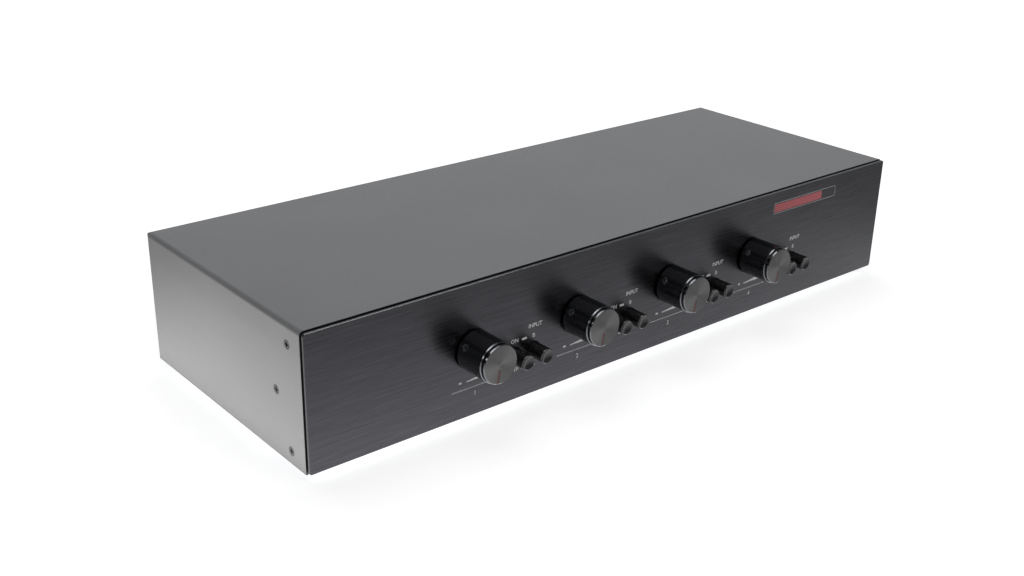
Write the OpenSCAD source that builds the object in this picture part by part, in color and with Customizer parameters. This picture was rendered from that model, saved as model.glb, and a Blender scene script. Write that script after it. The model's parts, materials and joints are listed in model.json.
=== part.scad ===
// Speaker selector switch: four zones, each with a stepped volume control and two push buttons,
// in a full-width case of folded sheet steel with a brushed aluminium front plate.
// Millimetres. +Z is up, X runs across the case, and the front faces -Y.
// The origin lies on the surface that the feet stand on, below the middle of the whole part.

/* [Case] */
// Width of the case
case_w = 430; // [400:1:480]
// Depth of the case, from the face of the front plate to the back of the cover
case_d = 159; // [150:0.5:240]
// Height of the case without its feet
case_h = 73.7; // [68:0.1:100]
// Thickness of the cover's sheet
cover_t = 1.2; // [0.8:0.1:1.5]
// Outside radius of the cover's bends
cover_bend_r = 2.4; // [2:0.1:4]
// Width of the lip that the cover turns in round the rear panel
cover_lip = 10; // [9:0.5:14]
// Thickness of the sheet of the base tray, front chassis and rear panel
chassis_t = 1.2; // [0.8:0.1:1.5]
// Outside radius of the chassis bends
chassis_bend_r = 2; // [1.8:0.1:3]
// Height of the base tray's side flanges
tray_flange_h = 14; // [8:0.5:25]
// Width of the chassis flanges that lie on the tray
foot_flange = 14; // [10:0.5:20]
// Depth of the side flanges of the front chassis
side_flange = 32; // [30:0.5:45]

/* [Front plate] */
// Thickness of the front plate
front_t = 1.2; // [1:0.1:3]
// Shadow gap between the front plate and the cover
front_gap = 1.3; // [0.8:0.1:3]
// How much the front plate stays back from the case's outline, all round
front_inset = 0.5; // [0:0.1:1]
// Corner radius of the front plate
front_corner_r = 1.5; // [1:0.1:4]
// Chamfer round the face of the front plate
front_chamfer = 0.25; // [0.15:0.05:0.6]
// Length of the studs behind the front plate
stud_len = 7; // [6:0.5:12]

/* [Zones] */
// Number of zones
zones = 4; // [1:1:4]
// Distance between the knobs of two zones
zone_pitch = 69.6; // [66:0.1:75]
// Distance of the first knob from the left end of the case
first_zone = 96.3; // [85:0.1:110]
// Height of the knob axes above the underside of the case
knob_z = 37.6; // [35:0.1:44]
// Height of the push buttons above the underside of the case
button_z = 26.1; // [23:0.1:27]
// Distance of the ON button from the knob axis
on_button_dx = 27; // [22:0.1:28]
// Distance between the ON button and the INPUT button
button_pitch = 12.6; // [11:0.1:15]

/* [Knob] */
// Diameter of the knob
knob_d = 22; // [20:0.1:26]
// How far the knob stands out from the front plate
knob_out = 21.6; // [18:0.1:26]
// Gap between the knob and the front plate
knob_gap = 0.8; // [0.4:0.1:2]
// Thickness of the cap's disc
cap_t = 1.3; // [0.9:0.1:2]
// How much smaller than the knob the cap's radius is
cap_inset = 0.5; // [0.1:0.05:1]
// Width of the groove between the cap and the knob
groove_w = 0.9; // [0.5:0.1:1.5]
// Depth of that groove
groove_depth = 1.3; // [0.8:0.1:2]
// Bright chamfer on the knob and on its cap
knob_chamfer = 0.45; // [0.2:0.05:0.8]
// Width of the pointer groove in the cap
pointer_w = 1.4; // [0.5:0.1:2]
// Inner end of the pointer groove, measured from the knob axis
pointer_from = 3; // [2:0.1:7]
// Depth of the pointer groove
pointer_depth = 0.3; // [0.1:0.05:0.5]
// Angle of the pointer at its first position, clockwise from straight down
pointer_angle = 11; // [0:1:30]
// Angle from the pointer to the grub screw, clockwise
grub_angle = 110; // [60:5:180]
// Distance of the grub screw from the front plate
grub_out = 5.4; // [5:0.1:9]
// Diameter of the grub screw
grub_d = 4; // [3:0.5:4]

/* [Push buttons] */
// Diameter of the buttons
button_d = 8.4; // [7:0.1:9.5]
// How far the buttons stand out from the front plate
button_out = 11; // [7:0.1:14]
// Travel of the buttons
button_travel = 3; // [2:0.1:4]
// Width of the rim round the dish in the end of a button
button_rim = 0.6; // [0.4:0.05:1.2]
// Depth of that dish
dish_depth = 1.2; // [0.5:0.1:1.5]
// Side of the square push rod
rod_w = 3; // [2:0.1:4]
// Side of the square housing of a push switch
push_body_w = 8.5; // [8:0.1:10]
// Length of the housing of a push switch
push_body_len = 15; // [14:0.5:20]

/* [Rotary switch] */
// Diameter of the shaft
shaft_d = 6; // [5:0.1:6.35]
// Outside diameter of the threaded bushing
bushing_d = 9; // [8.5:0.1:10]
// Diameter of the switch housing
rotary_d = 28; // [25:0.5:29]
// Length of the switch housing
rotary_len = 18; // [15:0.5:24]
// Wall of the switch housing
rotary_wall = 2; // [1.5:0.1:3]
// Width across the flats of the bushing nut
nut_af = 12; // [11.5:0.1:13]
// Thickness of the bushing nut
nut_t = 2.2; // [1.5:0.1:3]
// Thickness of the washer under the nut
washer_t = 0.6; // [0.4:0.1:1]

/* [Boards] */
// Thickness of the circuit boards
board_t = 1.6; // [1:0.1:2]
// Length of the control board, from front to back
control_board_d = 64; // [55:0.5:70]
// Gap between a pressed button and the control board
control_board_gap = 1; // [0.5:0.1:3]
// Width across the flats of the board spacers
spacer_af = 5.5; // [5:0.1:7]
// Height of the terminal board
terminal_board_h = 34; // [28:0.5:44]
// Length of the spacers between the rear panel and the terminal board
terminal_spacer_len = 12; // [10:0.5:15]
// Diameter of the wire looms
loom_d = 4; // [3:0.1:5]

/* [Transformers] */
// Width of a transformer core
core_w = 36; // [33:0.5:40]
// Height of a transformer core
core_h = 30; // [28:0.5:36]
// Thickness of the stack of laminations
core_stack = 14; // [10:0.5:18]
// Thickness of the transformer strap
strap_t = 1; // [0.8:0.1:1.5]

/* [Terminals] */
// Number of poles in a terminal block
poles = 4; // [2:1:4]
// Distance between two poles
pole_pitch = 7.6; // [7:0.1:8.5]
// Distance between two terminal blocks
block_pitch = 56; // [52:0.5:60]
// Height of a terminal block
block_h = 15; // [13:0.5:20]
// How far the terminal blocks stand out behind the cover
block_out = 9; // [7:0.5:12]
// Side of a wire entry
wire_entry = 3.6; // [2.5:0.1:3.8]
// Height of the middle of the terminal blocks above the underside of the case
block_z = 36; // [32:0.5:42]

/* [Feet] */
// Height of the rubber feet
foot_h = 5; // [4:0.5:12]
// Diameter of the rubber feet
foot_d = 15; // [13:0.5:20]
// Distance of a foot's middle from the sides of the case
foot_inset_x = 40; // [30:1:60]
// Distance of a foot's middle from the front and the back of the case
foot_inset_y = 32; // [28:1:45]

/* [Fasteners and fits] */
// Diameter of the screws
screw_d = 3; // [2.5:0.1:3.2]
// Diameter of the countersunk heads on the sides
flat_head_d = 5; // [4.6:0.1:5.4]
// Diameter of the pan heads
pan_head_d = 5.6; // [5.2:0.1:6]
// Height of the pan heads
pan_head_h = 1.8; // [1.4:0.1:2.2]
// Clearance round a piece that is pushed or screwed into another
fit_gap = 0.05; // [0.02:0.01:0.08]
// Clearance between sheets that slide past each other
sheet_gap = 0.4; // [0.3:0.05:0.6]
// Clearance round a button in the front plate
button_gap = 0.3; // [0.3:0.05:0.4]

/* [Hidden] */
$fn = 64;
// How far a cut runs past the face that it opens
past = 1;

// Whole part, front to back: the knobs stand out in front, the terminal blocks behind
front_y = knob_out - (knob_out + case_d + block_out) / 2;

// Cover, and the space inside it
cover_front = front_t + front_gap;
inner_w = case_w - 2 * (cover_t + sheet_gap);
inner_top = case_h - cover_t - sheet_gap;
chassis_back = front_t + chassis_t;
rear_face = case_d - cover_t;
rear_inner = rear_face - chassis_t;
rear_w = case_w - 2 * (cover_bend_r + sheet_gap);
rear_top = case_h - cover_bend_r - sheet_gap;
tray_end = case_d - max(cover_bend_r, cover_t + chassis_t) - sheet_gap;
// How far the flanges of the front chassis and rear panel stop short of its ends
flange_relief = 12;

// Screws: the cross slots of their heads, and the length of those that hold sheets
slot_w = 0.7;
flat_slot_depth = 0.8;
screw_len = 6;

// Side screws, each as [depth behind the face, height]
side_screw_top = 10.5;
side_screw_drop = 1.5;
side_screws = [[14, case_h - side_screw_top], [26.3, case_h / 2 - side_screw_drop], [15.1, 7.1]];

// Rear lip screws, in the middle of where the lip laps the rear panel
lip_screw_z = (rear_top + case_h - cover_lip) / 2;
lip_screw_x = (rear_w / 2 + case_w / 2 - cover_lip) / 2;
lip_screw_inset = 30;
lip_screws = concat(
    [for (x = [-case_w / 2 + lip_screw_inset, 0, case_w / 2 - lip_screw_inset]) [x, lip_screw_z]],
    [for (side = [-1, 1]) [side * lip_screw_x, case_h / 2]]
);

// Screws up through the tray into the flanges that lie on it, as [x, depth]
flange_screw_inset = 70;
flange_screw_edge = 4.5;
flange_screw_x = case_w / 2 - flange_screw_inset;
flange_screws = [
    for (x = [-flange_screw_x, 0, flange_screw_x],
         y = [front_t + foot_flange - flange_screw_edge, rear_face - foot_flange + flange_screw_edge])
        [x, y]
];

// Front plate studs, as [x, height]
stud_inset = [18, 12];
studs = [
    for (side = [-1, 1], z = [stud_inset[1], case_h - stud_inset[1]]) [side * (case_w / 2 - stud_inset[0]), z]
];
nut_small_af = 5.5;
nut_small_t = 2.4;

// Zones
function knob_x(i) = -case_w / 2 + first_zone + i * zone_pitch;
function on_x(i) = knob_x(i) + on_button_dx;
function input_x(i) = on_x(i) + button_pitch;

// Knob, as depths in front of the plate (negative is outwards)
knob_r = knob_d / 2;
knob_front = -knob_out + cap_t + groove_w;
knob_back = -knob_gap;
// The bushing nut lies in a hole of the front plate and clamps the switch to the front chassis
nut_hole_gap = 0.6;
nut_hole_r = nut_af / 2 / cos(30) + nut_hole_gap;
nut_front = front_t - washer_t - nut_t;
bushing_past_nut = 0.5;
bushing_front = nut_front - bushing_past_nut;
recess_gap = 0.8;
recess_r = nut_hole_r + recess_gap;
recess_front = min(bushing_front, knob_back) - recess_gap;
spigot_step = 1.5;
spigot_r = knob_r - groove_depth - spigot_step;
spigot_len = 2;
shaft_end_gap = 0.5;
shaft_front = knob_front + spigot_len + shaft_end_gap;
flat_depth = 1.2;
shaft_flat = shaft_d / 2 - flat_depth;
grub_sunk = 0.25;
hex_key_af = grub_d / 2;
hex_key_depth = grub_d / 2;

// Rotary switch, as depths behind the face of the plate
rotary_back = chassis_back + rotary_len;
rotor_gap = 0.6;
rotor_r = rotary_d / 2 - rotary_wall - rotor_gap;
rotor_t = 3;
rotor_front = chassis_back + rotary_wall + 2 * rotor_gap;
pivot_r = 2;
pivot_end_gap = 0.3;
pin_r = 0.5;
pin_count = 6;
pin_pitch = 3.5;

// Terminal blocks: one for each zone and two for the inputs
block_count = zones + 2;
function block_x(i) = (i - (block_count - 1) / 2) * block_pitch;

// Push switches and control board
board_top = button_z - push_body_w / 2;
push_body_setback = 3;
push_body_wall = 1.5;
rod_end_gap = 1;
button_skirt = 1.5;
cap_back = chassis_back + button_skirt;
control_front = cap_back + button_travel + control_board_gap;
push_body_front = control_front + push_body_setback;
rod_end = push_body_front + push_body_len - push_body_wall - button_travel - rod_end_gap;
control_back = control_front + control_board_d;
board_margin = 10;
control_left = min(knob_x(0) - rotary_d / 2, block_x(0)) - board_margin;
control_right = max(input_x(zones - 1), block_x(block_count - 1)) + board_margin;
spacer_inset = 5;
spacer_span = 30;
control_spacers = [
    for (x = [control_left + spacer_inset, block_x(2), control_right - spacer_inset],
         y = [control_back - spacer_inset - spacer_span, control_back - spacer_inset])
        [x, y]
];

// Terminal board
block_wall = 0.8;
block_w = poles * pole_pitch + 2 * block_wall;
block_back = case_d + block_out;
terminal_board_back = rear_inner - terminal_spacer_len;
terminal_board_front = terminal_board_back - board_t;
terminal_board_margin = 9;
terminal_board_w = (block_count - 1) * block_pitch + block_w + 2 * terminal_board_margin;
terminal_spacers = [
    for (x = [-terminal_board_w / 2 + spacer_inset, 0, terminal_board_w / 2 - spacer_inset])
        [x, block_z - terminal_board_h / 2 + spacer_inset]
];
clamp_screw_r = 1.8;
clamp_screw_h = 3.5;
clamp_slot_depth = 0.9;
well_gap = 0.15;
well_r = clamp_screw_r + well_gap;
well_depth = 5;
clamp_screw_setback = 4.2;
clamp_screw_y = block_back - clamp_screw_setback;
block_chamfer = 2;
wire_entry_z = 2.2;

// Headers and looms
header = [10, 6, 5];
header_setback = 12;
header_y = control_back - header_setback;
lead_d = 3;
header_top = board_top + header[2];
loom_bend = loom_d;
loom_rise = 1;
loom_z = header_top + loom_rise + loom_bend;

// Transformers, between the looms
function transformer_x(i) = block_x(i) + block_pitch / 2;
core_leg = core_w / 3;
window_w = core_w / 6;
window_h = core_h - 2 * window_w;
coil_gap = 0.3;
coil_corner_r = 2;
coil_bulge = window_w - 2 * coil_gap;
transformer_y = (control_back + terminal_board_front) / 2;
strap_foot = 7;
strap_w = core_stack * 0.7;

// ---- shapes that repeat ----

// Puts its children in the frame of the case: x from the middle, y behind the face, z above the underside
module in_case() {
    translate([0, front_y, foot_h]) children();
}

// A rectangle with round corners, about the origin
module round_rect(w, h, r) {
    square([w - 2 * r, h], center = true);
    square([w, h - 2 * r], center = true);
    for (x = [-1, 1], y = [-1, 1]) translate([x * (w / 2 - r), y * (h / 2 - r)]) circle(r);
}

// A sheet bent into a U: its web lies along x from y = 0, and its two legs reach y = leg
module bent_u(w, leg, t, r) {
    intersection() {
        translate([0, leg]) difference() {
            round_rect(w, 2 * leg, r);
            round_rect(w - 2 * t, 2 * (leg - t), r - t);
        }
        translate([-w / 2, 0]) square([w, leg]);
    }
}

// Extrudes a profile drawn as x and z along y, from one depth to another
module along_y(from, to) {
    translate([0, to, 0]) rotate([90, 0, 0]) linear_extrude(to - from) children();
}

// A round bar along y, from one depth to another
module bar_y(r, from, to) {
    translate([0, from, 0]) rotate([-90, 0, 0]) cylinder(r = r, h = to - from);
}

// Turns a profile, given as points of radius and depth, about the y axis
module lathe_y(points) {
    rotate([-90, 0, 0]) rotate_extrude() polygon(points);
}

// A slab on the xy plane with round corners and a chamfer round its top face
module chamfered_slab(w, h, t, r, c) {
    function section(s) = [[-s, 0], [s, 0], [s, t - c], [s - c, t], [-s + c, t], [-s, t - c]];
    translate([-w / 2 + r, 0, 0]) rotate([90, 0, 90]) linear_extrude(w - 2 * r) polygon(section(h / 2));
    translate([0, h / 2 - r, 0]) rotate([90, 0, 0]) linear_extrude(h - 2 * r) polygon(section(w / 2));
    for (x = [-1, 1], y = [-1, 1]) translate([x * (w / 2 - r), y * (h / 2 - r), 0]) {
        cylinder(r = r, h = t - c);
        translate([0, 0, t - c]) cylinder(r1 = r, r2 = r - c, h = c);
    }
}

// The cross slot of a screw head whose top is at z = 0
module cross_slot(size, depth) {
    for (a = [0, 90]) rotate(a) translate([-size / 2, -slot_w / 2, -depth])
        cube([size, slot_w, depth + past]);
}

// A countersunk screw with its head's top at z = 0, pointing down; gap makes the hole it fits
module flat_screw(len, gap = 0) {
    head_r = flat_head_d / 2 + gap;
    thread_r = screw_d / 2 + gap;
    head_h = head_r - thread_r;
    difference() {
        union() {
            translate([0, 0, -head_h]) cylinder(r1 = thread_r, r2 = head_r, h = head_h);
            translate([0, 0, -len - gap]) cylinder(r = thread_r, h = len + gap);
        }
        if (gap == 0) cross_slot(flat_head_d * 0.6, flat_slot_depth);
    }
}

// A pan-head screw with its seat at z = 0, pointing down
module pan_screw(len) {
    head_r = pan_head_d / 2;
    side_h = pan_head_h * 0.55;
    difference() {
        union() {
            cylinder(r = head_r, h = side_h);
            translate([0, 0, side_h]) cylinder(r1 = head_r, r2 = head_r * 0.62, h = pan_head_h - side_h);
            translate([0, 0, -len]) cylinder(r = screw_d / 2, h = len);
        }
        translate([0, 0, pan_head_h]) cross_slot(pan_head_d * 0.57, pan_head_h * 0.6);
    }
}

// The hole that a screw passes or threads into, along z
module screw_hole(from, to) {
    translate([0, 0, from]) cylinder(r = screw_d / 2 + fit_gap, h = to - from);
}

// A hexagonal nut or spacer on z = 0 with a threaded hole
module hex_piece(af, h, hole_r) {
    difference() {
        cylinder(d = af / cos(30), h = h, $fn = 6);
        translate([0, 0, -past]) cylinder(r = hole_r, h = h + 2 * past);
    }
}

// Stands its children at each side screw, with +z pointing out of the cover
module at_side_screws() {
    for (side = [-1, 1], s = side_screws)
        translate([side * case_w / 2, s[0], s[1]]) rotate([0, side * 90, 0]) children();
}

// Stands its children at each screw of the rear lip, with +z pointing backwards out of the cover
module at_lip_screws() {
    for (s = lip_screws) translate([s[0], case_d, s[1]]) rotate([-90, 0, 0]) children();
}

// ---- case ----

// The cover's outer shape moved inwards, from one depth back and from one height up
module cover_block(inset, from, bottom) {
    r = cover_bend_r - inset;
    w = case_w - 2 * inset;
    top = case_h - inset;
    back = case_d - inset;
    intersection() {
        along_y(from, back) round_rect(w, 2 * top, r);
        translate([0, from, bottom]) linear_extrude(top - bottom) round_rect(w, 2 * (back - from), r);
        translate([-w / 2, from, 0]) rotate([90, 0, 90])
            linear_extrude(w) round_rect(2 * (back - from), 2 * top, r);
    }
}

module top_cover() {
    color("dimgray") in_case() difference() {
        cover_block(0, cover_front, 0);
        cover_block(cover_t, cover_front - past, -past);
        translate([-case_w / 2 + cover_lip, rear_face - past, -past])
            cube([case_w - 2 * cover_lip, cover_t + 2 * past, case_h - cover_lip + past]);
        at_side_screws() flat_screw(screw_len, fit_gap);
        at_lip_screws() screw_hole(-screw_len, past);
    }
}

module base_tray() {
    floor_front = chassis_back + sheet_gap;
    flange_front = front_t + side_flange + sheet_gap;
    color("silver") in_case() difference() {
        along_y(floor_front, tray_end) bent_u(inner_w, tray_flange_h, chassis_t, chassis_bend_r);
        for (side = [-1, 1]) translate([side * (inner_w / 2) - chassis_bend_r, floor_front - past, -past])
            cube([2 * chassis_bend_r, flange_front - floor_front + past, tray_flange_h + 2 * past]);
        for (s = flange_screws) translate([s[0], s[1], 0]) screw_hole(-past, chassis_t + past);
        for (s = control_spacers) translate([s[0], s[1], 0]) screw_hole(-past, chassis_t + past);
        for (p = foot_places) translate([p[0], p[1], 0]) screw_hole(-past, chassis_t + past);
        at_strap_screws() screw_hole(-chassis_t - past, past);
    }
}

// What stays inside the cover with a clearance, seen from the front
module inside_cover() {
    along_y(front_t, case_d) round_rect(inner_w, 2 * inner_top, cover_bend_r - cover_t);
}

// The front chassis is painted dark, as its edge shows in the shadow gap
module front_chassis() {
    flange_w = inner_w - 2 * flange_relief;
    color([0.1, 0.1, 0.1]) in_case() difference() {
        union() {
            intersection() {
                translate([0, front_t, 0]) linear_extrude(inner_top)
                    bent_u(inner_w, side_flange, chassis_t, chassis_bend_r);
                inside_cover();
            }
            for (z = [chassis_t, inner_top - chassis_t])
                translate([-flange_w / 2, front_t, z]) cube([flange_w, foot_flange, chassis_t]);
        }
        for (i = [0:zones - 1]) {
            translate([knob_x(i), 0, knob_z]) bar_y(bushing_d / 2 + fit_gap, 0, chassis_back + past);
            for (x = [on_x(i), input_x(i)])
                translate([x, 0, button_z]) bar_y(button_d / 2 + button_gap, 0, chassis_back + past);
        }
        for (s = studs) translate([s[0], 0, s[1]]) bar_y(screw_d / 2 + fit_gap, 0, chassis_back + past);
        at_side_screws() flat_screw(screw_len + past, fit_gap);
        for (s = flange_screws) translate([s[0], s[1], 0]) screw_hole(-past, 2 * chassis_t + past);
    }
}

module front_panel() {
    plate_w = case_w - 2 * front_inset;
    plate_h = case_h - 2 * front_inset;
    color([0.13, 0.13, 0.14]) in_case() {
        difference() {
            translate([0, front_t, case_h / 2]) rotate([90, 0, 0])
                chamfered_slab(plate_w, plate_h, front_t, front_corner_r, front_chamfer);
            for (i = [0:zones - 1]) {
                translate([knob_x(i), 0, knob_z]) bar_y(nut_hole_r, -past, front_t + past);
                for (x = [on_x(i), input_x(i)])
                    translate([x, 0, button_z]) bar_y(button_d / 2 + button_gap, -past, front_t + past);
            }
        }
        for (s = studs) translate([s[0], 0, s[1]]) bar_y(screw_d / 2, front_t, front_t + stud_len);
    }
}

module front_stud_nuts() {
    color("silver") in_case() for (s = studs)
        translate([s[0], chassis_back, s[1]]) rotate([-90, 0, 0])
            hex_piece(nut_small_af, nut_small_t, screw_d / 2 + fit_gap);
}

module rear_panel() {
    flange_w = rear_w - 2 * flange_relief;
    window_gap = 2 * sheet_gap;
    color("dimgray") in_case() difference() {
        union() {
            translate([-rear_w / 2, rear_inner, 0]) cube([rear_w, chassis_t, rear_top]);
            for (z = [chassis_t, rear_top - chassis_t])
                translate([-flange_w / 2, rear_face - foot_flange, z])
                    cube([flange_w, foot_flange, chassis_t]);
        }
        for (i = [0:block_count - 1]) translate([block_x(i), rear_inner, block_z])
            along_y(-past, chassis_t + past)
                square([block_w + window_gap, block_h + window_gap], center = true);
        at_lip_screws() screw_hole(-screw_len - past, 0);
        for (s = terminal_spacers) translate([s[0], 0, s[1]])
            bar_y(screw_d / 2 + fit_gap, rear_inner - past, rear_face + past);
        for (s = flange_screws) translate([s[0], s[1], 0]) screw_hole(-past, 2 * chassis_t + past);
    }
}

module cover_side_screws() {
    color("black") in_case() at_side_screws() flat_screw(screw_len);
}

module cover_rear_screws() {
    color("black") in_case() at_lip_screws() pan_screw(screw_len);
}

module chassis_screws() {
    color("silver") in_case() for (s = flange_screws)
        translate([s[0], s[1], 0]) rotate([180, 0, 0]) pan_screw(screw_len);
}

// ---- feet ----

foot_places = [
    for (x = [-1, 1], y = [foot_inset_y, case_d - foot_inset_y]) [x * (case_w / 2 - foot_inset_x), y]
];
foot_recess_h = foot_h / 2;
foot_taper = 1;
foot_edge = 0.6;
foot_recess_gap = 0.8;
foot_screw_grip = 3.5;

module rubber_feet() {
    bottom_r = foot_d / 2 - foot_taper;
    head_hole_r = pan_head_d / 2 + foot_recess_gap;
    hole_r = screw_d / 2 + fit_gap;
    color([0.1, 0.1, 0.1]) in_case() for (p = foot_places)
        translate([p[0], p[1], -foot_h]) rotate_extrude() polygon([
            [head_hole_r, 0], [bottom_r - foot_edge, 0], [bottom_r, foot_edge], [foot_d / 2, foot_h],
            [hole_r, foot_h], [hole_r, foot_recess_h], [head_hole_r, foot_recess_h]
        ]);
}

module foot_screws() {
    len = foot_h - foot_recess_h + foot_screw_grip;
    color("silver") in_case() for (p = foot_places)
        translate([p[0], p[1], -foot_h + foot_recess_h]) rotate([180, 0, 0]) pan_screw(len);
}

// ---- controls ----

// Stands its children on the axis of a zone's knob
module on_knob_axis(i) {
    in_case() translate([knob_x(i - 1), 0, knob_z]) children();
}

// Turns its children from straight down to the knob's first position
module at_pointer() {
    rotate([0, pointer_angle, 0]) children();
}

// Turns its children from straight down to where the grub screw sits at that position
module at_grub_screw() {
    rotate([0, pointer_angle + grub_angle, 0]) children();
}

module rotary_switch(i) {
    housing_r = rotary_d / 2;
    color([0.75, 0.72, 0.62]) on_knob_axis(i) {
        difference() {
            union() {
                bar_y(bushing_d / 2, bushing_front, chassis_back);
                bar_y(housing_r, chassis_back, rotary_back);
                for (p = [0:pin_count - 1]) let (x = (p - (pin_count - 1) / 2) * pin_pitch)
                    translate([x, (chassis_back + rotary_back) / 2, board_top - knob_z])
                        cylinder(r = pin_r, h = knob_z - board_top);
            }
            bar_y(shaft_d / 2 + fit_gap, bushing_front - past, chassis_back + rotary_wall + past);
            bar_y(housing_r - rotary_wall, chassis_back + rotary_wall, rotary_back - rotary_wall);
            bar_y(pivot_r + fit_gap, rotary_back - rotary_wall - past, rotary_back + past);
        }
    }
}

module rotor_shaft(i) {
    color("silver") on_knob_axis(i) at_grub_screw() difference() {
        union() {
            bar_y(shaft_d / 2, shaft_front, rotor_front);
            bar_y(rotor_r, rotor_front, rotor_front + rotor_t);
            bar_y(pivot_r, rotor_front, rotary_back - pivot_end_gap);
        }
        translate([-shaft_d, shaft_front - past, -shaft_flat - shaft_d])
            cube([2 * shaft_d, recess_front - shaft_end_gap - shaft_front + past, shaft_d]);
    }
}

module bushing_nuts() {
    color("silver") for (i = [1:zones]) on_knob_axis(i)
        translate([0, nut_front + nut_t, 0]) rotate([90, 0, 0])
            hex_piece(nut_af, nut_t, bushing_d / 2 + fit_gap);
}

module bushing_washers() {
    color("silver") for (i = [1:zones]) on_knob_axis(i) difference() {
        bar_y(nut_af / 2, front_t - washer_t, front_t);
        bar_y(bushing_d / 2 + fit_gap, front_t - washer_t - past, front_t + past);
    }
}

// The knob is turned from one bar: a recess behind clears the bushing nut,
// and a pocket in front takes the cap
module knob(i) {
    bore_r = shaft_d / 2 + fit_gap;
    c = knob_chamfer;
    pocket_r = spigot_r + fit_gap;
    pocket_y = knob_front + spigot_len + fit_gap;
    color([0.05, 0.05, 0.06]) on_knob_axis(i) at_grub_screw() difference() {
        lathe_y([
            [pocket_r, knob_front], [knob_r - c, knob_front], [knob_r, knob_front + c],
            [knob_r, knob_back - c], [knob_r - c, knob_back], [recess_r, knob_back],
            [recess_r, recess_front], [bore_r, recess_front], [bore_r, pocket_y], [pocket_r, pocket_y]
        ]);
        translate([0, -grub_out, -knob_r - past]) cylinder(r = grub_d / 2 + fit_gap, h = knob_r + past);
    }
}

module knob_cap(i) {
    cap_r = knob_r - cap_inset;
    neck_r = knob_r - groove_depth;
    c = knob_chamfer;
    color([0.45, 0.45, 0.46]) on_knob_axis(i) at_pointer() difference() {
        lathe_y([
            [0, -knob_out], [cap_r - c, -knob_out], [cap_r, -knob_out + c], [cap_r, -knob_out + cap_t],
            [neck_r, -knob_out + cap_t], [neck_r, knob_front], [spigot_r, knob_front],
            [spigot_r, knob_front + spigot_len], [0, knob_front + spigot_len]
        ]);
        translate([-pointer_w / 2, -knob_out - past, -knob_r])
            cube([pointer_w, past + pointer_depth, knob_r - pointer_from]);
    }
}

module knob_grub_screw(i) {
    head = -knob_r + grub_sunk;
    color("silver") on_knob_axis(i) at_grub_screw() translate([0, -grub_out, head]) difference() {
        cylinder(r = grub_d / 2, h = -shaft_flat - fit_gap - head);
        translate([0, 0, -past]) cylinder(d = hex_key_af / cos(30), h = hex_key_depth + past, $fn = 6);
    }
}

// A button and its push rod are one moulding, and the rod runs in the housing behind
module push_button(x) {
    r = button_d / 2;
    edge = button_rim / 2;
    dish_edge_r = r - button_rim;
    dish_r = (dish_edge_r * dish_edge_r + dish_depth * dish_depth) / (2 * dish_depth);
    color([0.08, 0.08, 0.08]) in_case() translate([x, 0, button_z]) difference() {
        union() {
            lathe_y([
                [0, -button_out], [r - edge, -button_out], [r, -button_out + edge],
                [r, cap_back], [0, cap_back]
            ]);
            along_y(cap_back - past, rod_end) square(rod_w, center = true);
        }
        translate([0, -button_out + dish_depth - dish_r, 0]) sphere(r = dish_r);
    }
}

module push_switch_bodies() {
    guide_w = rod_w + 2 * sheet_gap;
    color("white") in_case() for (i = [0:zones - 1], x = [on_x(i), input_x(i)])
        translate([x, push_body_front, button_z]) difference() {
            along_y(0, push_body_len) square(push_body_w, center = true);
            along_y(-past, push_body_len - push_body_wall) square(guide_w, center = true);
        }
}

// ---- boards ----

module control_board() {
    color("darkgreen") in_case() difference() {
        translate([control_left, control_front, board_top - board_t])
            cube([control_right - control_left, control_board_d, board_t]);
        for (s = control_spacers)
            translate([s[0], s[1], 0]) screw_hole(board_top - board_t - past, board_top + past);
    }
}

module terminal_board() {
    color("darkgreen") in_case() difference() {
        translate([-terminal_board_w / 2, terminal_board_front, block_z - terminal_board_h / 2])
            cube([terminal_board_w, board_t, terminal_board_h]);
        for (s = terminal_spacers) translate([s[0], 0, s[1]])
            bar_y(screw_d / 2 + fit_gap, terminal_board_front - past, terminal_board_back + past);
    }
}

module board_spacers() {
    hole_r = screw_d / 2 + fit_gap;
    color("gold") in_case() {
        for (s = control_spacers) translate([s[0], s[1], chassis_t])
            hex_piece(spacer_af, board_top - board_t - chassis_t, hole_r);
        for (s = terminal_spacers) translate([s[0], terminal_board_back, s[1]]) rotate([-90, 0, 0])
            hex_piece(spacer_af, terminal_spacer_len, hole_r);
    }
}

module board_screws() {
    board_screw_len = 5;
    color("silver") in_case() {
        for (s = control_spacers) translate([s[0], s[1], 0]) {
            translate([0, 0, board_top]) pan_screw(board_screw_len);
            rotate([180, 0, 0]) pan_screw(board_screw_len);
        }
        for (s = terminal_spacers) translate([s[0], 0, s[1]]) {
            translate([0, terminal_board_front, 0]) rotate([90, 0, 0]) pan_screw(board_screw_len);
            translate([0, rear_face, 0]) rotate([-90, 0, 0]) pan_screw(board_screw_len);
        }
    }
}

// Plugs of the looms on the control board, with one on the terminal board for each terminal block
module board_headers() {
    header_xs = concat(
        [for (i = [0:block_count - 1]) block_x(i)],
        [for (i = [0:zones - 1]) transformer_x(i)]
    );
    color("ivory") in_case() {
        for (x = header_xs) translate([x - header[0] / 2, header_y - header[1] / 2, board_top]) cube(header);
        for (i = [0:block_count - 1])
            translate([block_x(i) - header[0] / 2, terminal_board_front - header[2], loom_z - header[1] / 2])
                cube([header[0], header[2], header[1]]);
    }
}

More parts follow.
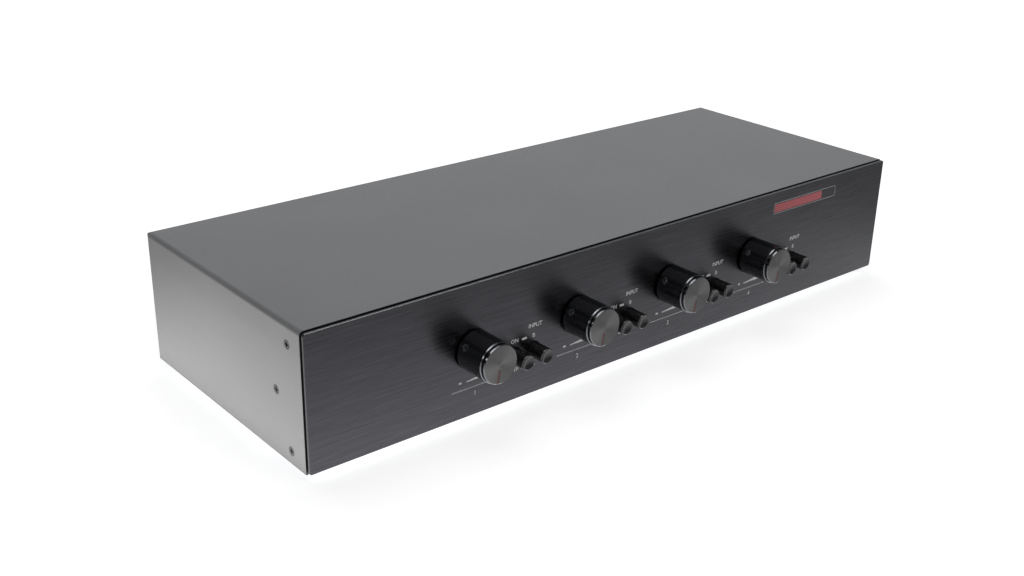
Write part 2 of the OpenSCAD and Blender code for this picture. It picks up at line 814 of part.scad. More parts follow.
// Each loom leaves the terminal board, bends down and stands on its plug on the control board.
// Each transformer's lead runs straight from its coil to its plug.
module wire_looms() {
    r = loom_d / 2;
    coil_face = transformer_y - core_stack / 2 - coil_bulge;
    color("crimson") in_case() {
        for (i = [0:block_count - 1]) translate([block_x(i), 0, 0]) {
            translate([0, 0, loom_z]) bar_y(r, header_y + loom_bend, terminal_board_front - header[2]);
            translate([0, header_y + loom_bend, loom_z - loom_bend]) rotate([90, 0, -90])
                rotate_extrude(angle = 90) translate([loom_bend, 0]) circle(r);
            translate([0, header_y, header_top]) cylinder(r = r, h = loom_z - loom_bend - header_top);
        }
        for (i = [0:zones - 1]) translate([transformer_x(i), 0, board_top + header[2] / 2])
            bar_y(lead_d / 2, header_y + header[1] / 2, coil_face);
    }
}

// ---- transformers ----

// Stands its children at the middle of each transformer's footprint, on the tray
module at_transformers() {
    for (i = [0:zones - 1]) translate([transformer_x(i), transformer_y, chassis_t]) children();
}

module at_strap_screws() {
    at_transformers() for (side = [-1, 1])
        translate([side * (core_w / 2 + strap_t + strap_foot / 2), 0, 0]) children();
}

module transformer_cores() {
    color("gray") in_case() at_transformers() translate([0, 0, core_h / 2])
        along_y(-core_stack / 2, core_stack / 2) difference() {
            square([core_w, core_h], center = true);
            for (side = [-1, 1]) translate([side * (core_leg / 2 + window_w / 2), 0])
                square([window_w, window_h], center = true);
        }
}

module transformer_coils() {
    coil_w = core_leg + 2 * (window_w - coil_gap);
    coil_d = core_stack + 2 * coil_bulge;
    hole_w = core_leg + 2 * coil_gap;
    hole_d = core_stack + 2 * coil_gap;
    coil_h = window_h - 2 * coil_gap;
    color("orangered") in_case() at_transformers() translate([0, 0, (core_h - coil_h) / 2])
        linear_extrude(coil_h) difference() {
            round_rect(coil_w, coil_d, coil_corner_r);
            square([hole_w, hole_d], center = true);
        }
}

module transformer_straps() {
    outer_w = core_w + 2 * strap_t;
    color("silver") in_case() difference() {
        at_transformers() along_y(-strap_w / 2, strap_w / 2) {
            difference() {
                translate([-outer_w / 2, 0]) square([outer_w, core_h + strap_t]);
                translate([-core_w / 2, -past]) square([core_w, core_h + past]);
            }
            for (side = [-1, 1]) translate([side * (core_w / 2 + strap_t + strap_foot / 2), strap_t / 2])
                square([strap_foot, strap_t], center = true);
        }
        at_strap_screws() screw_hole(-past, strap_t + past);
    }
}

module transformer_screws() {
    color("silver") in_case() at_strap_screws() translate([0, 0, strap_t]) pan_screw(strap_t + chassis_t + 1);
}

// ---- terminals ----

// A terminal block stands on the terminal board and reaches out through the rear panel
module terminal_block(i) {
    entry_depth = block_out - block_chamfer;
    color("darkgreen") in_case() translate([block_x(i), 0, block_z]) difference() {
        translate([-block_w / 2, 0, 0]) rotate([90, 0, 90]) linear_extrude(block_w) polygon([
            [terminal_board_back, -block_h / 2], [block_back, -block_h / 2],
            [block_back, block_h / 2 - 1.5 * block_chamfer], [block_back - block_chamfer, block_h / 2],
            [terminal_board_back, block_h / 2]
        ]);
        for (p = [0:poles - 1]) translate([(p - (poles - 1) / 2) * pole_pitch, 0, 0]) {
            translate([-wire_entry / 2, block_back - entry_depth, -block_h / 2 + wire_entry_z])
                cube([wire_entry, entry_depth + past, wire_entry]);
            translate([0, clamp_screw_y, block_h / 2 - well_depth])
                cylinder(r = well_r, h = well_depth + past);
        }
    }
}

module terminal_screws() {
    slot_len = 2 * (clamp_screw_r + past);
    foot_z = block_z + block_h / 2 - well_depth;
    color("silver") in_case() for (i = [0:block_count - 1], p = [0:poles - 1])
        translate([block_x(i) + (p - (poles - 1) / 2) * pole_pitch, clamp_screw_y, foot_z]) difference() {
            cylinder(r = clamp_screw_r, h = clamp_screw_h);
            translate([-slot_len / 2, -slot_w / 2, clamp_screw_h - clamp_slot_depth])
                cube([slot_len, slot_w, clamp_slot_depth + past]);
        }
}

// ---- what is drawn ----

base_tray();
front_chassis();
front_panel();
rear_panel();
top_cover();
cover_side_screws();
cover_rear_screws();
chassis_screws();
front_stud_nuts();
rubber_feet();
foot_screws();
control_board();
board_spacers();
board_screws();
board_headers();
bushing_nuts();
bushing_washers();
push_switch_bodies();
transformer_cores();
transformer_coils();
transformer_straps();
transformer_screws();
terminal_board();
terminal_screws();
wire_looms();
terminal_block(zones);  // terminal_block_input_a
terminal_block(zones + 1);  // terminal_block_input_b
for (i = [1:zones]) {
    terminal_block(i - 1);
    rotary_switch(i);
    rotor_shaft(i);
    knob(i);
    knob_cap(i);
    knob_grub_screw(i);
    push_button(on_x(i - 1));
    push_button(input_x(i - 1));
}
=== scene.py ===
"""Looks of a four-zone speaker selector switch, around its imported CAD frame.

Everything is in metres in the frame's own axes: X across the case, the front faces -Y, +Z up.
"""

import json
import math

import bmesh
import bpy
import numpy as np
from mathutils import Matrix, Vector


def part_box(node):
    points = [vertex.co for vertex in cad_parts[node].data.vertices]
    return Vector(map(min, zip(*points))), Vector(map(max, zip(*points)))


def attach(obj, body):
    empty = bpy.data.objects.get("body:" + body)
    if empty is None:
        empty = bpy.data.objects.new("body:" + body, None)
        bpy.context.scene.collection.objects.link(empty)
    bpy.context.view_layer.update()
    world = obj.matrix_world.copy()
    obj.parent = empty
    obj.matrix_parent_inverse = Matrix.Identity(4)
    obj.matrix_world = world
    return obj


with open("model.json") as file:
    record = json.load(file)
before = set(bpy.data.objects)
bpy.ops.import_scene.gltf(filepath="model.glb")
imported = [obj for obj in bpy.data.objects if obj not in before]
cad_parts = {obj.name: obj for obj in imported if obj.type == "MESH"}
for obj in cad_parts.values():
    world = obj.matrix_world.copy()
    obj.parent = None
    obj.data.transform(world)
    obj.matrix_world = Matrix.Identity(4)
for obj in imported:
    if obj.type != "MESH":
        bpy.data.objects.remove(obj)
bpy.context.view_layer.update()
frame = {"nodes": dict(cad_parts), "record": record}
MM = 0.001
ZONES = (1, 2, 3, 4)


# ---------------------------------------------------------------- places taken from the frame

def size_of(node):
    """Lowest corner, highest corner and middle of a CAD node, as arrays in metres."""
    low, high = (np.array(corner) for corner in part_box(node))
    return low, high, (low + high) / 2


plate_low, plate_high, plate_middle = size_of("front_panel")
cover_low, cover_high, cover_middle = size_of("top_cover")
knob_low, knob_high, _ = size_of("knob_1")
cap_low, cap_high, _ = size_of("knob_cap_1")
PLATE_FACE = plate_low[1]
COVER_FRONT = cover_low[1]
CASE_BOTTOM = cover_low[2]
KNOB_R = (knob_high[0] - knob_low[0]) / 2
KNOB_FRONT = knob_low[1]
CAP_R = (cap_high[0] - cap_low[0]) / 2
CAP_FACE = cap_low[1]
BUTTON_FRONT = size_of("on_button_1")[0][1]
# Width of the turned chamfers on the knob and on its cap
CHAMFER = 0.45 * MM


def knob_axis(zone):
    """X and Z of a zone's knob axis."""
    return size_of(f"knob_{zone}")[2][[0, 2]]


# ---------------------------------------------------------------- camera

# The view was solved from the straight edges of the case: turned 40 degrees to the left of the
# front, 23.3 degrees above the horizon and rolled by 1.1 degrees, through a lens of 44.4 mm
CAMERA_AZIMUTH = math.radians(-39.970)
CAMERA_ELEVATION = math.radians(23.272)
CAMERA_ROLL = math.radians(1.105)
CAMERA_DISTANCE = 0.74468
CAMERA_LENS_MM = 44.436
SENSOR_MM = 36.0
NEAREST, FARTHEST = 0.01, 50
# The point that the camera looks at: left of the middle, halfway back along the case, low on it
CAMERA_AIM = np.array([-0.027858, (PLATE_FACE + cover_high[1]) / 2, CASE_BOTTOM + 0.019842])


def add_camera():
    """A camera that looks at CAMERA_AIM from its azimuth and elevation, rolled about its axis."""
    a, e, r = CAMERA_AZIMUTH, CAMERA_ELEVATION, CAMERA_ROLL
    back = np.array([math.sin(a) * math.cos(e), -math.cos(a) * math.cos(e), math.sin(e)])
    level = np.cross([0.0, 0.0, 1.0], back)
    level /= np.linalg.norm(level)
    upright = np.cross(back, level)
    right = math.cos(r) * level + math.sin(r) * upright
    up = math.cos(r) * upright - math.sin(r) * level
    place = CAMERA_AIM + back * CAMERA_DISTANCE
    data = bpy.data.cameras.new("camera")
    data.lens = CAMERA_LENS_MM
    data.sensor_width = SENSOR_MM
    data.clip_start, data.clip_end = NEAREST, FARTHEST
    camera = bpy.data.objects.new("camera", data)
    camera.matrix_world = Matrix([*np.c_[right, up, back, place].tolist(), [0, 0, 0, 1]])
    bpy.context.scene.collection.objects.link(camera)
    bpy.context.scene.camera = camera


# ---------------------------------------------------------------- shader building

# Most of what a noise node gives lies between these two values
NOISE_LOW, NOISE_HIGH = 0.3, 0.7


def linear(hex_colour):
    """An sRGB hex colour as linear red, green, blue and alpha."""
    channels = (int(hex_colour[i:i + 2], 16) / 255 for i in (1, 3, 5))
    return (*(c / 12.92 if c <= 0.04045 else ((c + 0.055) / 1.055) ** 2.4 for c in channels), 1.0)


def add_node(tree, kind, settings=None, **inputs):
    """Adds a node, sets its properties, and gives each named input a value or a link from a socket.

    An input is named by its label with _ for a space, or by i and its number.
    """
    made = tree.nodes.new(kind)
    for name, value in (settings or {}).items():
        setattr(made, name, value)
    for name, value in inputs.items():
        numbered = name[0] == "i" and name[1:].isdigit()
        socket = made.inputs[int(name[1:]) if numbered else name.replace("_", " ")]
        if isinstance(value, bpy.types.NodeSocket):
            tree.links.new(value, socket)
        else:
            socket.default_value = value
    return made


def new_material(name, **surface):
    """A material, its node tree and its Principled shader, whose sockets take the given values."""
    made = bpy.data.materials.new(name)
    made.use_nodes = True
    tree = made.node_tree
    shader = tree.nodes["Principled BSDF"]
    for key, value in surface.items():
        shader.inputs[key.replace("_", " ")].default_value = value
    return made, tree, shader


def math_of(tree, operation, first, second=0.0):
    """The result of one Math node."""
    settings = {"operation": operation}
    return add_node(tree, "ShaderNodeMath", settings, i0=first, i1=second).outputs[0]


def product(tree, *values):
    """The product of its values, which for tests is 1 only where each of them is 1."""
    result = values[0]
    for value in values[1:]:
        result = math_of(tree, "MULTIPLY", result, value)
    return result


def length_of(tree, first, second):
    """The length of a step along two axes: the root of the sum of their squares."""
    squares = [product(tree, part, part) for part in (first, second)]
    return math_of(tree, "SQRT", math_of(tree, "ADD", *squares))


def placed(tree, centre=(0, 0, 0), scale=(1, 1, 1)):
    """Object coordinates measured from a centre and then stretched along the axes."""
    settings = {"vector_type": "POINT"}
    object_place = add_node(tree, "ShaderNodeTexCoord").outputs["Object"]
    moved = add_node(tree, "ShaderNodeMapping", settings, Vector=object_place,
                     Location=tuple(-c for c in centre)).outputs[0]
    return add_node(tree, "ShaderNodeMapping", settings, Vector=moved, Scale=scale).outputs[0]


def axes_of(tree, place):
    """The X, Y and Z of a place, as sockets by their letters."""
    return add_node(tree, "ShaderNodeSeparateXYZ", Vector=place).outputs


def noise_at(tree, place, detail):
    """Noise between 0 and 1, one cell per unit of the given place."""
    return add_node(tree, "ShaderNodeTexNoise", Vector=place, Scale=1.0, Detail=detail,
                    Roughness=0.5).outputs["Fac"]


def grain(tree, size, detail=2.0):
    """Noise whose cells have the given size in metres, along each axis or the same along all."""
    sizes = size if isinstance(size, tuple) else (size, size, size)
    return noise_at(tree, placed(tree, scale=tuple(1 / s for s in sizes)), detail)


def rings_along(tree, distance, axis, pitch, detail):
    """Noise that changes with one distance alone, a ring per pitch. The axis is the noise's own."""
    along = {axis: math_of(tree, "DIVIDE", distance, pitch)}
    return noise_at(tree, add_node(tree, "ShaderNodeCombineXYZ", **along).outputs[0], detail)


def between(tree, value, low, high, from_low=NOISE_LOW, from_high=NOISE_HIGH):
    """The value stretched from one range to another and clamped to it."""
    return add_node(tree, "ShaderNodeMapRange", {"clamp": True}, Value=value, From_Min=from_low,
                    From_Max=from_high, To_Min=low, To_Max=high).outputs[0]


def blended(tree, factor, first, second):
    """A number between two numbers."""
    return add_node(tree, "ShaderNodeMix", {"data_type": "FLOAT"}, i0=factor, i2=first,
                    i3=second).outputs[0]


def mixed(tree, factor, first, second):
    """A colour between two colours, each given as hex or as a socket."""
    first, second = (linear(c) if isinstance(c, str) else c for c in (first, second))
    return add_node(tree, "ShaderNodeMix", {"data_type": "RGBA"}, i0=factor, i6=first,
                    i7=second).outputs[2]


def toned(tree, noise, dark, light, low=NOISE_LOW, high=NOISE_HIGH):
    """A colour that goes from dark to light as the noise goes from low to high."""
    return mixed(tree, between(tree, noise, 0.0, 1.0, low, high), dark, light)


def finish_surface(tree, shader, colour, roughness, height, depth):
    """Links colour and roughness, and a bump this deep in metres as the height goes from 0 to 1."""
    tree.links.new(colour, shader.inputs["Base Color"])
    tree.links.new(roughness, shader.inputs["Roughness"])
    bump = add_node(tree, "ShaderNodeBump", Height=height, Strength=1.0, Distance=depth)
    tree.links.new(bump.outputs[0], shader.inputs["Normal"])


def stretch_gloss(tree, shader, axis):
    """Points the shader's stretched highlights round an axis of the object."""
    tangent = add_node(tree, "ShaderNodeTangent", {"direction_type": "RADIAL", "axis": axis})
    tree.links.new(tangent.outputs[0], shader.inputs["Tangent"])


# ---------------------------------------------------------------- materials of the case

# How far behind the cover's foremost point its cut front edge, painted near-black as painted shade,
# is still taken to be
COVER_EDGE = 0.05 * MM
# Width of the bright cut round the front plate
PLATE_CUT = 0.3 * MM
# A quarter turn, which lays the stretched highlights across the tool marks
QUARTER_TURN = 0.25
# How much of the plate's streaks is the broad ones
BROAD_SHARE = 0.35


def powder_coat(name, dark, light, roughness=0.34):
    """Powder coat on steel, satin unless rougher: it bakes into a faint orange peel.

    The peel is about 1 mm from hump to hump and breaks up reflections, and the grey drifts a little
    over several centimetres. The cover's cut front edge is painted near-black as painted shade, so
    that it goes with the dark shadow gap round the front plate.
    """
    made, tree, shader = new_material(name, IOR=1.5, Specular_IOR_Level=0.5)
    coat = toned(tree, grain(tree, 60 * MM, detail=1.0), dark, light)
    behind_front = axes_of(tree, placed(tree, (0, COVER_FRONT, 0)))["Y"]
    painted_shade_edge = math_of(tree, "LESS_THAN", behind_front, COVER_EDGE)
    humps = grain(tree, 1.1 * MM)
    # Painted shade: the cut front edge is coloured near-black to continue the shadow gap round the
    # front plate
    finish_surface(tree, shader, mixed(tree, painted_shade_edge, coat, "#1a1a1a"),
                   between(tree, humps, roughness, roughness + 0.08), humps, depth=0.012 * MM)
    return made


def edge_of_plate(tree, place, axis):
    """1 on the cut at the front plate's two edges across one axis, and 0 further in."""
    reach = (plate_high[axis] - plate_low[axis]) / 2 - PLATE_CUT
    return math_of(tree, "GREATER_THAN", math_of(tree, "ABSOLUTE", place), reach)


def brushed_black_anodised():
    """Aluminium brushed along X, anodised and dyed black, its front edge then cut through the dye.

    The belt leaves long scratches, so reflections stay sharp along the case and smear up and down,
    and the dye takes lighter and darker along them. Real scratches are about 0.05 mm apart. They
    are drawn 0.3 mm apart, with broader ones 1.2 mm apart, to show in the render. The cut is bright
    bare metal along the top and bottom, and painted a darker grey at the two ends as painted shade,
    where the photograph has it dark.
    """
    made, tree, shader = new_material("black_anodised_aluminium", Metallic=1.0, Anisotropic=0.7,
                                      Anisotropic_Rotation=QUARTER_TURN)
    fine = grain(tree, (25 * MM, 1.0, 0.3 * MM), detail=3.0)
    broad = grain(tree, (40 * MM, 1.0, 1.2 * MM))
    streaks = blended(tree, BROAD_SHARE, fine, broad)
    dyed = toned(tree, streaks, "#3c3c3f", "#4c4c50", 0.35, 0.65)
    axes = axes_of(tree, placed(tree, tuple(plate_middle)))
    at_front = math_of(tree, "LESS_THAN", axes["Y"], PLATE_FACE - plate_middle[1] + PLATE_CUT)
    level_cut = product(tree, at_front, edge_of_plate(tree, axes["Z"], 2))
    painted_shade_end_cut = product(tree, at_front, edge_of_plate(tree, axes["X"], 0))
    # The cut at the two ends takes a darker grey than along the top and bottom: painted shade
    colour = mixed(tree, painted_shade_end_cut, mixed(tree, level_cut, dyed, "#a2a3a6"), "#505154")
    stretch_gloss(tree, shader, "Z")
    finish_surface(tree, shader, colour, between(tree, streaks, 0.24, 0.34), fine,
                   depth=0.004 * MM)
    return made


def plated_steel(name, dark, light, roughness, cloud=9 * MM):
    """Zinc-plated steel: bright, cool and faintly clouded where the plating took unevenly."""
    made, tree, shader = new_material(name, Metallic=1.0)
    clouds = grain(tree, cloud, detail=4.0)
    finish_surface(tree, shader, toned(tree, clouds, dark, light),
                   between(tree, clouds, roughness, roughness + 0.12), grain(tree, 0.5 * MM),
                   depth=0.004 * MM)
    return made


def foot_rubber():
    """Moulded nitrile rubber: matt black, with the fine grain of a spark-eroded mould."""
    made, tree, shader = new_material("foot_rubber", IOR=1.5)
    pits = grain(tree, 0.3 * MM)
    finish_surface(tree, shader, toned(tree, pits, "#151515", "#202020"),
                   between(tree, pits, 0.75, 0.9), pits, depth=0.02 * MM)
    return made


# ---------------------------------------------------------------- materials of the controls

# Dark silver of a chamfer that was cut bright and then clear anodised
CUT_METAL = "#6c6d70"
# How far past its exact place a turned face is still taken to be itself
SLACK = 0.03 * MM
# How far back from its tip a button is painted greyer, as a painted sheen
BUTTON_END = 0.8 * MM


def turned_place(tree, zone):
    """Distance from a zone's knob axis and the place along Y, in metres, as two sockets."""
    x, z = knob_axis(zone)
    axes = axes_of(tree, placed(tree, (x, 0, z)))
    return length_of(tree, axes["X"], axes["Z"]), axes["Y"]


def spun_cap(zone):
    """Aluminium cap: its face is turned and anodised dark silver, its chamfer is cut bright after.

    The tool leaves rings about 0.1 mm apart, drawn 0.3 mm apart to show, so light fans out from the
    middle. The chamfer, the rim and the neck behind it are polished, so they mirror the soft boxes.
    """
    made, tree, shader = new_material(f"spun_aluminium_{zone}", Metallic=1.0, Anisotropic=0.9,
                                      Anisotropic_Rotation=QUARTER_TURN)
    radius, depth = turned_place(tree, zone)
    on_face = product(tree, math_of(tree, "LESS_THAN", depth, CAP_FACE + SLACK),
                      math_of(tree, "LESS_THAN", radius, CAP_R - CHAMFER + SLACK))
    rings = rings_along(tree, radius, "X", 0.3 * MM, detail=3.0)
    colour = mixed(tree, on_face, CUT_METAL, toned(tree, rings, "#5a5a5b", "#6c6c6c"))
    roughness = blended(tree, on_face, 0.12, between(tree, rings, 0.36, 0.46))
    stretch_gloss(tree, shader, "Y")
    finish_surface(tree, shader, colour, roughness, rings, depth=0.004 * MM)
    return made


def gloss_black_knob(zone):
    """Turned aluminium knob, polished and anodised gloss black, its front chamfer cut bright after.

    Fine turning rings 0.4 mm apart along the body soften what it mirrors.
    """
    made, tree, shader = new_material(f"knob_black_{zone}", IOR=1.6)
    radius, depth = turned_place(tree, zone)
    chamfer = product(tree, math_of(tree, "LESS_THAN", depth, KNOB_FRONT + CHAMFER + SLACK),
                      math_of(tree, "GREATER_THAN", radius, KNOB_R - CHAMFER - SLACK))
    rings = rings_along(tree, depth, "Y", 0.4 * MM, detail=2.0)
    tree.links.new(chamfer, shader.inputs["Metallic"])
    finish_surface(tree, shader, mixed(tree, chamfer, "#17181b", CUT_METAL),
                   between(tree, rings, 0.12, 0.2), rings, depth=0.002 * MM)
    return made


def button_plastic():
    """Push buttons moulded in black ABS from a polished tool: glossy, and faintly wavy.

    The waves come from the resin's shrinkage. The dished end is painted a little greyer: a painted
    sheen that stands in for what the dish reflects.
    """
    made, tree, shader = new_material("button_plastic", IOR=1.5)
    waves = grain(tree, 2.5 * MM, detail=1.0)
    behind_tip = axes_of(tree, placed(tree, (0, BUTTON_FRONT, 0)))["Y"]
    end = math_of(tree, "LESS_THAN", behind_tip, BUTTON_END)
    # Painted sheen: the dished end is coloured greyer to stand in for the reflection it shows
    colour = mixed(tree, end, toned(tree, waves, "#18181a", "#212122"), "#242426")
    finish_surface(tree, shader, colour, between(tree, waves, 0.14, 0.22), waves,
                   depth=0.02 * MM)
    return made


def blackened_steel():
    """Screws in black zinc: a dark metal with a slight sheen, scuffed lighter here and there."""
    made, tree, shader = new_material("black_screws", Metallic=1.0)
    scuffs = grain(tree, 0.7 * MM, detail=4.0)
    finish_surface(tree, shader, toned(tree, scuffs, "#3a3a3c", "#5c5c5e"),
                   between(tree, scuffs, 0.32, 0.5), scuffs, depth=0.01 * MM)
    return made


# ---------------------------------------------------------------- materials inside and behind

def moulded_plastic(name, dark, light, roughness):
    """Injection-moulded plastic with a fine sparked grain, a little uneven in shade."""
    made, tree, shader = new_material(name, IOR=1.5)
    pits = grain(tree, 0.4 * MM)
    finish_surface(tree, shader, toned(tree, grain(tree, 6 * MM), dark, light),
                   between(tree, pits, roughness, roughness + 0.12), pits, depth=0.01 * MM)
    return made


def board_laminate():
    """Glass-epoxy board under green solder mask, where the weave shows and tracks lift the mask."""
    made, tree, shader = new_material("board_laminate", IOR=1.5)
    weave_pitch, track_pitch = 0.8 * MM, 12 * MM
    weave_shows, tracks_show = 0.15, 0.7
    weave = add_node(tree, "ShaderNodeTexChecker", Vector=placed(tree),
                     Scale=1 / weave_pitch).outputs["Fac"]
    tracks = add_node(tree, "ShaderNodeTexBrick", Vector=placed(tree), Scale=1 / track_pitch,
                      Mortar_Size=0.06, Mortar_Smooth=0.2).outputs["Fac"]
    mask = mixed(tree, product(tree, weave, weave_shows), "#0f4a26", "#1b6a38")
    colour = mixed(tree, product(tree, tracks, tracks_show), mask, "#2a8a4c")
    finish_surface(tree, shader, colour, between(tree, grain(tree, 3 * MM), 0.25, 0.35), tracks,
                   depth=0.03 * MM)
    return made


def layered(name, dark, light, axis, pitch, roughness, metallic=0.0):
    """A stack or winding: layers follow each other at a pitch along an axis, a groove between."""
    made, tree, shader = new_material(name, Metallic=metallic)
    along = axes_of(tree, placed(tree))[axis]
    phase = math_of(tree, "FRACT", math_of(tree, "DIVIDE", along, pitch))
    off_groove = between(tree, math_of(tree, "PINGPONG", phase, 0.5), 0.0, 1.0, 0.0, 0.12)
    finish_surface(tree, shader, mixed(tree, off_groove, dark, light),
                   between(tree, grain(tree, 1.5 * MM), roughness, roughness + 0.15),
                   off_groove, depth=0.05 * MM)
    return made


def turned_brass():
    """Board spacers in turned brass: warm, with fine rings from the lathe 0.25 mm apart."""
    made, tree, shader = new_material("spacer_brass", Metallic=1.0)
    rings = grain(tree, (4 * MM, 4 * MM, 0.25 * MM))
    finish_surface(tree, shader, toned(tree, rings, "#b38f4a", "#d4b169"),
                   between(tree, rings, 0.25, 0.4), rings, depth=0.01 * MM)
    return made


# ---------------------------------------------------------------- materials of the marks

def ink(name, thin, full):
    """Screen-printed epoxy ink: a thin matt film, a little uneven where the mesh left it thin."""
    made, tree, shader = new_material(name, IOR=1.5)
    cover = grain(tree, 0.25 * MM)
    finish_surface(tree, shader, toned(tree, cover, thin, full), between(tree, cover, 0.5, 0.65),
                   cover, depth=0.004 * MM)
    return made


def pointer_enamel():
    """Red enamel filled into the pointer groove and wiped, a little uneven in tone."""
    made, tree, shader = new_material("pointer_enamel", IOR=1.5)
    pool = grain(tree, 0.8 * MM)
    finish_surface(tree, shader, toned(tree, pool, "#3e0c11", "#561419"),
                   between(tree, pool, 0.25, 0.35), pool, depth=0.01 * MM)
    return made


def dress_frame():
    """Gives every CAD node the material of its slot.

    Each zone's knob and cap get their own one, centred on their axis. The front chassis gets a
    near-black coat whatever its slot, as painted shade, because it shows through the gap round the
    front plate.
    """
    shared = {
        "cover_paint": powder_coat("cover_paint", "#7b7b7c", "#7f7f80"),
        "rear_paint": powder_coat("rear_paint", "#4a4b4a", "#4e4f4e"),
        "black_anodised_aluminium": brushed_black_anodised(),
        "zinc_steel": plated_steel("zinc_steel", "#a4a8ac", "#bcc0c3", 0.32),
        "black_screws": blackened_steel(),
        "zinc_screws": plated_steel("zinc_screws", "#b0b2b2", "#c6c8c6", 0.26, cloud=2 * MM),
        "foot_rubber": foot_rubber(),
        "board_laminate": board_laminate(),
        "spacer_brass": turned_brass(),
        "header_nylon": moulded_plastic("header_nylon", "#d6d2c2", "#e2dece", 0.45),
        "core_steel": layered("core_steel", "#3c3c40", "#7a7a80", "Y", 0.5 * MM, 0.4, 1.0),
        "coil_tape": layered("coil_tape", "#9c5c14", "#c68226", "Z", 4 * MM, 0.3),
        "wire_sleeve": layered("wire_sleeve", "#4a0c0c", "#7a1414", "Y", 0.8 * MM, 0.5),
        "terminal_plastic": moulded_plastic("terminal_plastic", "#1a4c28", "#20562e", 0.38),
        "switch_phenolic": layered("switch_phenolic", "#6a4e30", "#8a6844", "Y", 0.6 * MM, 0.5),
        "button_plastic": button_plastic(),
    }
    for part in frame["record"]["subparts"]:
        node, slot = part["node"], part["material_slot"]
        if node == "front_chassis":
            # Painted shade: the chassis is coloured near-black so that the gap round the front
            # plate reads as shadow
            material = powder_coat("chassis_painted_shade", "#060606", "#0a0a0a", 0.8)
        elif slot == "spun_aluminium":
            material = spun_cap(node[-1])
        elif slot == "knob_black":
            material = gloss_black_knob(node[-1])
        else:
            material = shared[slot]
        mesh = frame["nodes"][node].data
        mesh.materials.clear()
        mesh.materials.append(material)


# ---------------------------------------------------------------- flat pieces

def new_piece(name, shells):
    """One mesh object from closed shells of points and faces, its faces turned outwards."""
    points, faces, start = [], [], 0
    for shell_points, shell_faces in shells:
        points.append(np.asarray(shell_points, dtype=float))
        faces += [tuple(i + start for i in face) for face in shell_faces]
        start += len(shell_points)
    mesh = bpy.data.meshes.new(name)
    mesh.from_pydata(np.concatenate(points).tolist(), [], faces)
    work = bmesh.new()
    work.from_mesh(mesh)
    bmesh.ops.recalc_face_normals(work, faces=work.faces)
    work.to_mesh(mesh)
    work.free()
    made = bpy.data.objects.new(name, mesh)
    bpy.context.scene.collection.objects.link(made)
    return made


def round_outline(centre, width, height, radius, steps=6):
    """A rectangle with round corners, as X and Z.

    Each corner's middle lies the radius in from both sides, and its arc is that middle plus the
    radius times the cosine and sine of angles through a quarter turn.
    """
    corners = np.array([[1, 1], [-1, 1], [-1, -1], [1, -1]]) * (width / 2 - radius,
                                                                height / 2 - radius)
    turns = np.radians(np.arange(4)[:, None] * 90 + np.linspace(0, 90, steps)[None, :])
    arcs = corners[:, None, :] + radius * np.stack([np.cos(turns), np.sin(turns)], axis=-1)
    return arcs.reshape(-1, 2) + centre


def at_depth(outline, y):
    """An outline of X and Z as points of X, Y and Z at one Y."""
    return np.c_[outline[:, 0], np.full(len(outline), y), outline[:, 1]]


def slab(outline, front, back):
    """A closed plate: the outline at two depths, its two ends as faces, and a wall at each side."""
    count = len(outline)
    around = np.arange(count)
    after = (around + 1) % count
    walls = np.c_[around, after, after + count, around + count]
    faces = [tuple(around), tuple(around + count), *(tuple(wall) for wall in walls)]
    return np.concatenate([at_depth(outline, front), at_depth(outline, back)]), faces


# ---------------------------------------------------------------- marks on the front plate

# A print reaches from just in front of the plate's face to just behind it
INK_FRONT = PLATE_FACE - 0.03 * MM
INK_BACK = PLATE_FACE + 0.02 * MM
LETTER_H = 2.3 * MM
NUMBER_H = 2.7 * MM
# Rows above or below the middle of the buttons
UPPER_ROW = 8.1 * MM
LOWER_ROW = -8.3 * MM
INPUT_ROW = 13.7 * MM
# Rows above or below the knob's axis
VOLUME_ROW = -16.9 * MM
LINE_ROW = -20.8 * MM
NUMBER_ROW = -24.7 * MM
# How far to the right of its button or knob a mark sits
ON_ASIDE = -0.3 * MM
INPUT_ASIDE = 0.9 * MM
STATE_ASIDE = 6.1 * MM
NUMBER_ASIDE = 1.15 * MM
# The B sits this much lower than the upper row
B_DROP = 0.1 * MM
# Corner radius of a bar, as a share of its shorter side
BAR_ROUND = 0.3
# Bars, as how far they are right of and above their place, and their width and height
PRESSED_BAR = np.array([0, -0.3, 3.2, 1.3]) * MM
QUIET_BAR = np.array([-8.3, 0.3, 1.8, 1.0]) * MM
ZONE_BAR = np.array([0.6, 0, 28.5, 0.6]) * MM
# A released button's mark is a bar with a block on it; the volume's is a wedge that grows upwards
RELEASED_OUTLINE = np.array([(-1.65, -0.9), (1.65, -0.9), (1.65, -0.1), (0.8, -0.1), (0.8, 0.9),
                             (-0.8, 0.9), (-0.8, -0.1), (-1.65, -0.1)]) * MM
WEDGE_OUTLINE = np.array([(-4.3, -0.2), (8.8, -0.2), (8.8, 1.9), (-4.3, 0.25)]) * MM
# The plain badge: its outline, the line's width, and the bar that fills its left part
BADGE_Z = CASE_BOTTOM + 62.9 * MM
BADGE_LEFT, BADGE_RIGHT, BADGE_H = 107.6 * MM, 166 * MM, 6.8 * MM
BADGE_LINE, BADGE_ROUND = 0.3 * MM, 1.2 * MM
FILL_RIGHT, FILL_GAP, FILL_H, FILL_ROUND = 152.6 * MM, 0.8 * MM, 5.1 * MM, 0.6 * MM
# How much bolder the letters are drawn and how near points are welded, in the font's own units
LETTER_BOLDER = 0.01
LETTER_WELD = 1e-5


def on_case(piece, material):
    """Makes a printed piece ride on the case with its ink."""
    piece.data.materials.append(material)
    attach(piece, "case")


def ink_slab(outline):
    """A print with the given outline of X and Z."""
    return slab(outline, INK_FRONT, INK_BACK)


def bar(place, aside, above, width, height):
    """A printed bar with slightly rounded corners, beside and above a place of X and Z."""
    centre = (place[0] + aside, place[1] + above)
    radius = min(width, height) * BAR_ROUND
    return ink_slab(round_outline(centre, width, height, radius, steps=3))


